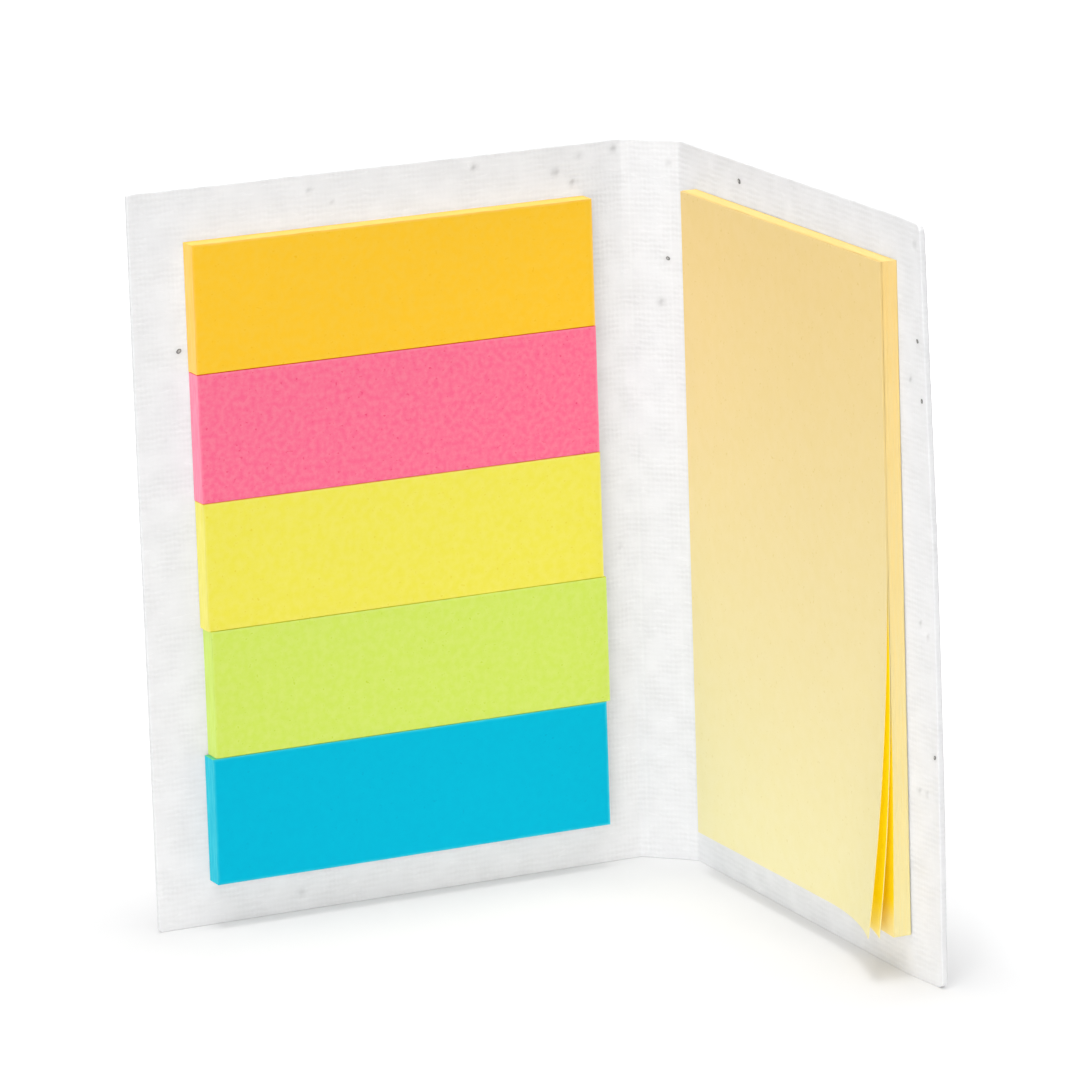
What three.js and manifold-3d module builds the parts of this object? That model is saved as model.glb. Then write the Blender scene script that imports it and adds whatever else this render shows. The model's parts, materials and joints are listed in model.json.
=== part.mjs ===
// Seed paper notepad: a folded cover standing open, with page markers and sticky notes glued inside.
// Millimetres, +Z up. The spine lies along X, the cover opens towards -Y and stands on Z = 0.

import * as THREE from 'three';
import { mergeVertices } from 'three/addons/utils/BufferGeometryUtils.js';
import Module from 'manifold-3d';

const wasm = await Module();
wasm.setup();

// Cover: one sheet of seed paper with two scored creases
const SHEET = 0.7;
const COVER_WIDTH = 61.7;
const COVER_HEIGHT = 86.4;
const SPINE_WIDTH = 7.2;
const CREASE_BEND = 45.5;
const SCORE_WIDTH = 0.1;
const EDGE_WEAR = 0.12;
const SCORE_CORNER = 0.25;
const FRONT_CORNER = 0.5;
const BACK_CORNER = 1.1;
const CORNER_STEPS = 4;
const WEAR_STEPS = 2;
const COVER_COLOR = '#eeeeec';
const COVER_ROUGHNESS = 0.95;

// Stacks of thin paper and the film of glue that holds them to the cover. Each stack is centred on its panel,
// apart from a lean towards the crease and a drop towards the foot.
const LEAF = 0.1;
const LEAF_NICK = 0.03;
const GLUE = 0.1;
const PAD_LEAN = 0.8;
const PAD_ROUGHNESS = 0.8;

// Page markers on the front cover, from the top one down
const MARKER_WIDTH = 50;
const MARKER_HEIGHT = 14.85;
const MARKER_GAP = 0.15;
const MARKER_LEAVES = 25;
const MARKER_DROP = 0.375;
const MARKERS = [
  { name: 'page_markers_orange', color: '#ffc72c', shift: 0.1 },
  { name: 'page_markers_pink', color: '#ff7396', shift: 0.05 },
  { name: 'page_markers_yellow', color: '#f4ea58', shift: 0 },
  { name: 'page_markers_lime', color: '#d4ec66', shift: -0.3 },
  { name: 'page_markers_blue', color: '#00bcd8', shift: 0.15 },
];

// Sticky notes on the back cover, with two sheets that curl up at the lower outer corner
const NOTE_WIDTH = 51;
const NOTE_HEIGHT = 76.5;
const NOTE_LEAVES = 20;
const NOTE_DROP = 0.05;
const NOTE_COLOR = '#f5e0a0';
const CURLED_LEAVES = [
  { alongFoot: 12.2, alongSide: 33, lift: 2 },
  { alongFoot: 17, alongSide: 46, lift: 3.3 },
];
const CURL_STEPS = 14;
const CURL_OVERRUN = 1.1;
const LEAF_BITE = 0.02;

// A rectangle in the XY plane from x0 to x1 and from 0 to height, with a corner radius at either end
function rectangle(x0, x1, height, radius0, radius1) {
  const quarter = Math.PI / 2;
  const shape = new THREE.Shape();
  shape.absarc(x1 - radius1, radius1, radius1, -quarter, 0);
  shape.absarc(x1 - radius1, height - radius1, radius1, 0, quarter);
  shape.absarc(x0 + radius0, height - radius0, radius0, quarter, 2 * quarter);
  shape.absarc(x0 + radius0, radius0, radius0, 2 * quarter, 3 * quarter);
  return shape;
}

// A stretch of the cover's sheet: inner face at y = 0, outer face at y = SHEET, with worn edges
function sheetGeometry(x0, x1, radius0, radius1) {
  const geometry = new THREE.ExtrudeGeometry(rectangle(x0, x1, COVER_HEIGHT, radius0, radius1), {
    depth: SHEET - 2 * EDGE_WEAR,
    bevelThickness: EDGE_WEAR,
    bevelSize: EDGE_WEAR,
    bevelOffset: -EDGE_WEAR,
    bevelSegments: WEAR_STEPS,
    curveSegments: CORNER_STEPS,
  });
  geometry.rotateX(Math.PI / 2);
  geometry.translate(0, SHEET - EDGE_WEAR, 0);
  return geometry;
}

// A stack of leaves from z = 0 up, whose four sides show each leaf's edge as a fine ridge
function stackGeometry(width, height, leaves) {
  const positions = [];
  const indices = [];
  const rings = 2 * leaves + 1;
  for (let ring = 0; ring < rings; ring++) {
    const nick = ring % 2 === 0 ? LEAF_NICK : 0;
    const z = (ring * LEAF) / 2;
    positions.push(nick, nick, z, width - nick, nick, z);
    positions.push(width - nick, height - nick, z, nick, height - nick, z);
  }
  for (let ring = 0; ring < rings - 1; ring++) {
    for (let side = 0; side < 4; side++) {
      const a = 4 * ring + side;
      const b = 4 * ring + ((side + 1) % 4);
      indices.push(a, b, b + 4, a, b + 4, a + 4);
    }
  }
  const top = 4 * (rings - 1);
  indices.push(0, 2, 1, 0, 3, 2);
  indices.push(top, top + 1, top + 2, top, top + 2, top + 3);
  const geometry = new THREE.BufferGeometry();
  geometry.setAttribute('position', new THREE.Float32BufferAttribute(positions, 3));
  geometry.setIndex(indices);
  return geometry;
}

// How far a pad of this width starts from the crease
function padInset(width) {
  return (SCORE_WIDTH + COVER_WIDTH - width) / 2 - PAD_LEAN;
}

// How high a pad, or a column of pads, of this height starts
function padFoot(height, drop) {
  return (COVER_HEIGHT - height) / 2 - drop;
}

// Turns a stack built in the XY plane so that it stands on its foot and rises towards -Y
function standOnCover(geometry, x, foot) {
  geometry.rotateX(Math.PI / 2);
  geometry.translate(x, -GLUE, foot);
  return geometry;
}

function toSolid(geometry) {
  const bare = geometry.clone();
  bare.deleteAttribute('normal');
  bare.deleteAttribute('uv');
  const merged = mergeVertices(bare, 1e-5);
  return new wasm.Manifold(new wasm.Mesh({
    numProp: 3,
    vertProperties: merged.attributes.position.array,
    triVerts: new Uint32Array(merged.index.array),
  }));
}

function toGeometry(solid) {
  const mesh = solid.getMesh();
  const geometry = new THREE.BufferGeometry();
  geometry.setAttribute('position', new THREE.BufferAttribute(mesh.vertProperties, 3));
  geometry.setIndex(new THREE.BufferAttribute(mesh.triVerts, 1));
  return geometry;
}

// One leaf that lies flat at its level and then curls up on a round arc towards the lower outer corner.
// The curl starts on the line between two points, one on the foot and one on the outer side.
function curledLeaf(level, { alongFoot, alongSide, lift }) {
  const slant = Math.hypot(alongFoot, alongSide);
  const reach = (alongFoot * alongSide) / slant;
  const radius = (reach * reach + lift * lift) / (2 * lift);
  const turn = CURL_OVERRUN * Math.asin(reach / radius);
  const flat = NOTE_WIDTH + NOTE_HEIGHT;
  const profile = new THREE.Shape();
  profile.moveTo(-flat, -LEAF_BITE);
  profile.lineTo(0, -LEAF_BITE);
  profile.absarc(0, radius, radius + LEAF_BITE, -Math.PI / 2, -Math.PI / 2 + turn);
  profile.absarc(0, radius, radius - LEAF, -Math.PI / 2 + turn, -Math.PI / 2, true);
  profile.lineTo(-flat, LEAF);
  const leaf = new THREE.ExtrudeGeometry(profile, {
    depth: 2 * flat,
    bevelEnabled: false,
    curveSegments: CURL_STEPS,
  });
  leaf.translate(0, 0, -flat);
  const across = new THREE.Vector3(alongSide / slant, -alongFoot / slant, 0);
  const up = new THREE.Vector3(0, 0, 1);
  const along = new THREE.Vector3().crossVectors(across, up);
  const place = new THREE.Matrix4().makeBasis(across, up, along);
  place.setPosition(NOTE_WIDTH - alongFoot, 0, level);
  leaf.applyMatrix4(place);
  return toSolid(leaf);
}

// The note pad: a flat stack with the curled leaves on it, joined where they lie flat and cut to one outline
function notePadGeometry() {
  const flatLeaves = NOTE_LEAVES - CURLED_LEAVES.length;
  let pad = toSolid(stackGeometry(NOTE_WIDTH, NOTE_HEIGHT, flatLeaves));
  const room = new THREE.BoxGeometry(NOTE_WIDTH, NOTE_HEIGHT, NOTE_WIDTH);
  room.translate(NOTE_WIDTH / 2, NOTE_HEIGHT / 2, NOTE_WIDTH / 2);
  const outline = toSolid(room);
  CURLED_LEAVES.forEach((curl, count) => {
    const level = (flatLeaves + count) * LEAF;
    pad = pad.add(curledLeaf(level, curl).intersect(outline));
  });
  return toGeometry(pad);
}

function piece(name, geometry, color, roughness) {
  const material = new THREE.MeshStandardMaterial({ color, roughness, metalness: 0 });
  const mesh = new THREE.Mesh(geometry, material);
  mesh.name = name;
  return mesh;
}

function makeSpine() {
  const half = (SPINE_WIDTH - SCORE_WIDTH) / 2;
  const sheet = sheetGeometry(-half, half, SCORE_CORNER, SCORE_CORNER);
  return piece('spine', sheet, COVER_COLOR, COVER_ROUGHNESS);
}

// Front cover with its page markers, on the left, hinged on the left crease
function makeFrontCover() {
  const group = new THREE.Group();
  const edge = -SCORE_WIDTH / 2;
  const sheet = sheetGeometry(edge - COVER_WIDTH, edge, FRONT_CORNER, SCORE_CORNER);
  group.add(piece('front_cover', sheet, COVER_COLOR, COVER_ROUGHNESS));
  const pitch = MARKER_HEIGHT + MARKER_GAP;
  const lowest = padFoot(MARKERS.length * pitch - MARKER_GAP, MARKER_DROP);
  MARKERS.forEach(({ name, color, shift }, place) => {
    const foot = lowest + (MARKERS.length - 1 - place) * pitch;
    const stack = stackGeometry(MARKER_WIDTH, MARKER_HEIGHT, MARKER_LEAVES);
    standOnCover(stack, -padInset(MARKER_WIDTH) - shift - MARKER_WIDTH, foot);
    group.add(piece(name, stack, color, PAD_ROUGHNESS));
  });
  group.position.x = -SPINE_WIDTH / 2;
  group.rotation.z = THREE.MathUtils.degToRad(CREASE_BEND);
  return group;
}

// Back cover with its sticky notes, on the right, hinged on the right crease
function makeBackCover() {
  const group = new THREE.Group();
  const edge = SCORE_WIDTH / 2;
  const sheet = sheetGeometry(edge, edge + COVER_WIDTH, SCORE_CORNER, BACK_CORNER);
  group.add(piece('back_cover', sheet, COVER_COLOR, COVER_ROUGHNESS));
  const foot = padFoot(NOTE_HEIGHT, NOTE_DROP);
  const pad = standOnCover(notePadGeometry(), padInset(NOTE_WIDTH), foot);
  group.add(piece('note_pad', pad, NOTE_COLOR, PAD_ROUGHNESS));
  group.position.x = SPINE_WIDTH / 2;
  group.rotation.z = THREE.MathUtils.degToRad(-CREASE_BEND);
  return group;
}

// The origin is on the ground, under the middle of the standing notepad
const notepad = new THREE.Group();
notepad.add(makeSpine(), makeFrontCover(), makeBackCover());
notepad.updateMatrixWorld(true);
const middle = new THREE.Box3().setFromObject(notepad, true).getCenter(new THREE.Vector3());
notepad.position.set(-middle.x, -middle.y, 0);

export default notepad;
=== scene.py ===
# Seed paper notepad: a folded cover of handmade paper, page markers and sticky notes, on a white table.
import json
import math
import bmesh
import bpy
import numpy as np
from mathutils import Matrix, Vector


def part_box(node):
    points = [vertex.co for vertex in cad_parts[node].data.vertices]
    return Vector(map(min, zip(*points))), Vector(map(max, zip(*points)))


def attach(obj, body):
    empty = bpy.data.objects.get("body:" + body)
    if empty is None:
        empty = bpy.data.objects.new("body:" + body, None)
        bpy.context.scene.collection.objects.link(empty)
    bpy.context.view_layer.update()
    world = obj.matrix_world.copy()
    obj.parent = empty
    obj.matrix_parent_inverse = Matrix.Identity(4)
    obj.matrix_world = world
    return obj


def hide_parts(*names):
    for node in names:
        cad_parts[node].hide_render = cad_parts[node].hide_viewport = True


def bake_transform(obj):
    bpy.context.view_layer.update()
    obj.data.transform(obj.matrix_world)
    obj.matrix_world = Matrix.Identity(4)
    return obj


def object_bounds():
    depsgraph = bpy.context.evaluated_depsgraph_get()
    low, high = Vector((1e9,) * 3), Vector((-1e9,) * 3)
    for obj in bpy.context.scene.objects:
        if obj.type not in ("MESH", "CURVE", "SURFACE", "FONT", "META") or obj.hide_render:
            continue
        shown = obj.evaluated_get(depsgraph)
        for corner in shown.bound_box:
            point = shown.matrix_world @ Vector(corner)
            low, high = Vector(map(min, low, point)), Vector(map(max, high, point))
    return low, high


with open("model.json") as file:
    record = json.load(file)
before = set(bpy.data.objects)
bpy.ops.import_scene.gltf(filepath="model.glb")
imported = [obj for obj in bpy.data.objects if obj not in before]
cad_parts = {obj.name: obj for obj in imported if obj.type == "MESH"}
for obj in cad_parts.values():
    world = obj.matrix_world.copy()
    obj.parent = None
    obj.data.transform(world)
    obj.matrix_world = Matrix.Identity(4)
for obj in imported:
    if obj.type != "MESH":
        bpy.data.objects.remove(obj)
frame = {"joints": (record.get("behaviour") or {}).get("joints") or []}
CAD_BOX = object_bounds()
MM = 0.001
UP = Vector((0, 0, 1))

# The cover's sizes in millimetres and its place, from the frame. side is -1 on the front half of the notepad
# and 1 on its back half.
JOINTS = {joint["name"]: joint for joint in frame["joints"]}
HINGE_X = JOINTS["back_crease"]["pos_m"][0] / MM
HINGE_Y = JOINTS["back_crease"]["pos_m"][1] / MM
BEND = math.radians(-JOINTS["back_crease"]["range_deg"][0])
HEIGHT = (CAD_BOX[1].z - CAD_BOX[0].z) / MM
SHEET = 0.7
EDGE_WORN = 0.07  # what the worn edge takes off the cover's reach
PANEL = (CAD_BOX[1].x / MM - HINGE_X - SHEET * math.sin(BEND)) / math.cos(BEND) + EDGE_WORN
CORNERS = {"front": 0.5, "back": 1.1}

# The pads: leaves of thin paper in a stack, held to the inner face by a film of glue
LEAF = 0.1
GLUE = 0.1
MARKER_WIDTH = 50
MARKER_LEAVES = 25
NOTE_WIDTH = 51
NOTE_BLOCK_LEAVES = 18


# Randomness that repeats, and soft steps

NOISE_CELLS = 64


def value_noise(x, y, size_x, size_y, draw):
    """Smooth random values from -1 to 1 at points x, y in millimetres, on cells of the given size. draw picks
    the random numbers."""
    table = np.random.default_rng(draw).uniform(-1, 1, (NOISE_CELLS, NOISE_CELLS))
    gx, gy = x / size_x, y / size_y
    ix, iy = np.floor(gx).astype(int), np.floor(gy).astype(int)
    fx, fy = ease(gx - ix), ease(gy - iy)
    x0, x1 = ix % NOISE_CELLS, (ix + 1) % NOISE_CELLS
    y0, y1 = iy % NOISE_CELLS, (iy + 1) % NOISE_CELLS
    low = table[x0, y0] * (1 - fx) + table[x1, y0] * fx
    high = table[x0, y1] * (1 - fx) + table[x1, y1] * fx
    return low * (1 - fy) + high * fy


def layered_noise(x, y, size_x, size_y, draw):
    """Value noise with a second layer, half as large and half as strong."""
    coarse = value_noise(x, y, size_x, size_y, draw)
    return coarse + 0.5 * value_noise(x, y, size_x / 2, size_y / 2, draw + 1)


def ease(x):
    """0 below 0, 1 above 1, smooth between."""
    x = np.clip(x, 0, 1)
    return x * x * (3 - 2 * x)


# Meshes

SHARP_ANGLE = math.radians(50)


def build_mesh(name, points, quads, values, material):
    """A smooth piece from points in millimetres, with named numbers or vectors on its points."""
    mesh = bpy.data.meshes.new(name)
    mesh.from_pydata(points * MM, [], quads)
    for key, value in values.items():
        kind, field = ("FLOAT", "value") if value.ndim == 1 else ("FLOAT_VECTOR", "vector")
        mesh.attributes.new(key, kind, "POINT").data.foreach_set(field, value.astype(np.float32).ravel())
    mesh.polygons.foreach_set("use_smooth", np.full(len(quads), True))
    mesh.set_sharp_from_angle(angle=SHARP_ANGLE)
    mesh.materials.append(material)
    piece = bpy.data.objects.new(name, mesh)
    bpy.context.scene.collection.objects.link(piece)
    return piece


def closed_shell(grids):
    """Points and quads of a closed skin over stacked grids of one shape. The first and the last grid are its
    two broad faces, and the borders of all of them, in turn, make its rim."""
    rows, columns = grids[0].shape[:2]
    index = np.arange(rows * columns).reshape(rows, columns)
    border = np.concatenate([index[0, :-1], index[:-1, -1], index[-1, :0:-1], index[:0:-1, 0]])
    corners = [index[:-1, :-1], index[:-1, 1:], index[1:, 1:], index[1:, :-1]]
    face = np.stack([corner.ravel() for corner in corners], 1)
    flat = [grid.reshape(rows * columns, -1) for grid in grids]
    points = [flat[0]] + [grid[border] for grid in flat[1:-1]] + [flat[-1]]
    rings = [border]
    for step in range(1, len(grids) - 1):
        rings.append(np.arange(len(border)) + index.size + (step - 1) * len(border))
    last = index.size + (len(grids) - 2) * len(border)
    rings.append(border + last)
    quads = [face[:, ::-1], face + last]
    for low, high in zip(rings, rings[1:]):
        quads.append(np.stack([low, np.roll(low, -1), np.roll(high, -1), high], 1))
    return np.concatenate(points), np.concatenate(quads)


def on_skin(grids):
    """The numbers or vectors of stacked grids, in the order of closed_shell's points."""
    values = closed_shell(grids)[0]
    return values[:, 0] if values.shape[1] == 1 else values


def evenly(start, end, step):
    """Places from start to end, about step apart."""
    return np.linspace(start, end, max(round((end - start) / step), 1) + 1)


def lines_across(length, step, edge):
    """Grid lines from 0 to length, about step apart, and close together at both edges as edge lists them."""
    edge = np.array(edge)
    between = evenly(edge[-1] + step / 2, length - edge[-1] - step / 2, step)
    return np.concatenate([edge, between, length - edge[::-1]])


# Nodes

def color(hex_code):
    """A linear colour with alpha from an sRGB hex code."""
    parts = [int(hex_code[k:k + 2], 16) / 255 for k in (1, 3, 5)]
    return [p / 12.92 if p <= 0.04045 else ((p + 0.055) / 1.055) ** 2.4 for p in parts] + [1.0]


def add(tree, kind, inputs=None, **settings):
    """Adds a node with its settings, and sets or links its inputs, which go by their identifiers."""
    made = tree.nodes.new(kind)
    for key, value in settings.items():
        setattr(made, key, value)
    sockets = {socket.identifier: socket for socket in made.inputs}
    for key, value in (inputs or {}).items():
        if isinstance(value, bpy.types.NodeSocket):
            tree.links.new(value, sockets[key])
        else:
            sockets[key].default_value = value
    return made


def new_material(name):
    """An empty material and its node tree."""
    material = bpy.data.materials.new(name)
    material.use_nodes = True
    material.node_tree.nodes.clear()
    return material, material.node_tree


# Materials. Each sheet reads the attribute flat_mm, a point's place on the flat sheet in millimetres, so that
# its pattern keeps its real scale and stays with the paper when a crease bends.

FLAT_MM = "flat_mm"
CUT_EDGE = "cut_edge"
SEED_SHADE = "seed_shade"
HUSK_RIM = "husk_rim"
# Painted light and shade in the gaps under curled leaves and in the seams between markers
GAP_PAINTED_LIGHT = "gap_painted_light"
LIFTED = "lifted"
WAVE_REPEAT = math.pi / 10  # how far apart a wave texture's bands lie at scale 1
MIX = 2  # the output of a mix of colours

# Seed paper: sizes and strengths of its clouds of pulp, of the felt's marks, and of its lint and fuzz. A
# cotton fibre is too thin to show, so lint and fuzz are drawn as coarser clumps.
PULP_CLOUD_MM = 3.5
FELT_RIB_MM = 0.68
FELT_THREAD_MM = 0.55
FELT_WORN_MM = 3.0
FELT_DEPTH_MM = 0.032
THREADS_TO_RIBS = 0.4
# How much darker the felt's ribs and threads are where they sink: a painted shade of their relief
FELT_PAINTED_SHADE = 0.28
LINT_LENGTH_MM = 1.6
LINT_WIDTH_MM = 0.4
FUZZ_MM = 0.33
FUZZ_HEIGHT_MM = 0.035


def seed_paper():
    """Handmade seed paper, pressed between felts: matt white cotton pulp with the ribs and threads of the
    felt, given a painted shade where they sink, soft clouds, short lint and a grey shade where a seed lies
    just under the surface."""
    material, tree = new_material("seed_paper")
    place = add(tree, "ShaderNodeAttribute", attribute_name=FLAT_MM).outputs["Vector"]
    clouds = add(tree, "ShaderNodeTexNoise", {"Vector": place, "Scale": 1 / PULP_CLOUD_MM, "Detail": 4.0})
    cloudy = add(tree, "ShaderNodeMapRange",
                 {"Value": clouds.outputs["Fac"], "From Min": 0.3, "From Max": 0.7}).outputs["Result"]
    pulp = add(tree, "ShaderNodeMix",
               {"Factor_Float": cloudy, "A_Color": color("#ebebec"), "B_Color": color("#f1f1f2")},
               data_type="RGBA").outputs[MIX]

    ribs_place = add(tree, "ShaderNodeVectorMath", {"Vector": place, "Scale": WAVE_REPEAT / FELT_RIB_MM},
                     operation="SCALE").outputs["Vector"]
    ribs = add(tree, "ShaderNodeTexWave",
               {"Vector": ribs_place, "Scale": 1.0, "Distortion": 2.8, "Detail": 2.0, "Detail Scale": 1.4},
               bands_direction="Y").outputs["Fac"]
    threads_place = add(tree, "ShaderNodeVectorMath",
                        {"Vector": place, "Scale": WAVE_REPEAT / FELT_THREAD_MM},
                        operation="SCALE").outputs["Vector"]
    threads = add(tree, "ShaderNodeTexWave",
                  {"Vector": threads_place, "Scale": 1.0, "Distortion": 2.0, "Detail": 2.0,
                   "Detail Scale": 1.5}, bands_direction="X").outputs["Fac"]
    worn = add(tree, "ShaderNodeTexNoise", {"Vector": place, "Scale": 1 / FELT_WORN_MM, "Detail": 1.0})
    pressed = add(tree, "ShaderNodeMapRange",
                  {"Value": worn.outputs["Fac"], "From Min": 0.35, "From Max": 0.65, "To Min": 0.15})
    woven = add(tree, "ShaderNodeMath", {"Value": threads, "Value_001": THREADS_TO_RIBS, "Value_002": ribs},
                operation="MULTIPLY_ADD").outputs["Value"]
    felt = add(tree, "ShaderNodeMath", {"Value": woven, "Value_001": pressed.outputs["Result"]},
               operation="MULTIPLY").outputs["Value"]
    # Painted shade: the felt's marks are darker where they sink
    felt_painted_shade = add(tree, "ShaderNodeMath", {"Value": felt, "Value_001": FELT_PAINTED_SHADE}, operation="MULTIPLY")
    pulp = add(tree, "ShaderNodeMix",
               {"Factor_Float": felt_painted_shade.outputs["Value"], "A_Color": pulp, "B_Color": color("#dedede")},
               data_type="RGBA").outputs[MIX]

    lint_scale = (1 / LINT_LENGTH_MM, 1 / LINT_WIDTH_MM, 1 / LINT_WIDTH_MM)
    fibre_place = add(tree, "ShaderNodeMapping", {"Vector": place, "Scale": lint_scale})
    fibres = add(tree, "ShaderNodeTexNoise",
                 {"Vector": fibre_place.outputs["Vector"], "Scale": 1.0, "Detail": 2.0, "Distortion": 0.8})
    lint = add(tree, "ShaderNodeMapRange",
               {"Value": fibres.outputs["Fac"], "From Min": 0.6, "From Max": 0.72, "To Max": 0.35})
    pulp = add(tree, "ShaderNodeMix",
               {"Factor_Float": lint.outputs["Result"], "A_Color": pulp, "B_Color": color("#f8f8f9")},
               data_type="RGBA").outputs[MIX]
    shade = add(tree, "ShaderNodeAttribute", attribute_name=SEED_SHADE).outputs["Fac"]
    pulp = add(tree, "ShaderNodeMix", {"Factor_Float": shade, "A_Color": pulp, "B_Color": color("#9b9a99")},
               data_type="RGBA").outputs[MIX]

    fuzz = add(tree, "ShaderNodeTexNoise", {"Vector": place, "Scale": 1 / FUZZ_MM, "Detail": 3.0})
    sunk = add(tree, "ShaderNodeMath", {"Value": felt, "Value_001": -FELT_DEPTH_MM}, operation="MULTIPLY")
    height = add(tree, "ShaderNodeMath",
                 {"Value": fuzz.outputs["Fac"], "Value_001": FUZZ_HEIGHT_MM,
                  "Value_002": sunk.outputs["Value"]},
                 operation="MULTIPLY_ADD").outputs["Value"]
    bump = add(tree, "ShaderNodeBump", {"Height": height, "Strength": 1.0, "Distance": MM})
    shader = add(tree, "ShaderNodeBsdfPrincipled",
                 {"Base Color": pulp, "Roughness": 0.95, "Specular IOR Level": 0.1,
                  "Normal": bump.outputs["Normal"]})
    add(tree, "ShaderNodeOutputMaterial", {"Surface": shader.outputs["BSDF"]})
    return material


# Dyed paper: sizes of its flecks, of the lines on a cut stack and of its grain, and where its painted warm
# bounce light grows.
# Leaves and grain are finer than the render shows, so the lines and the grain are drawn a little coarser.
FLECK_MM = 0.45
EDGE_LINE_MM = 1.4 * LEAF
EDGE_LINE_LENGTH_MM = 3
GRAIN_MM = 0.2
GRAIN_HEIGHT_MM = 0.01
WARM_BOUNCE_START_MM = 8.0
WARM_BOUNCE_END_MM = 76.0
LEAF_PASSES = 0.6  # the share of light that shines through a lifted leaf
DYE_SPILL_LOST = 0.75  # the share of a dye's colour that the light it throws on the white paper lacks


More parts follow.
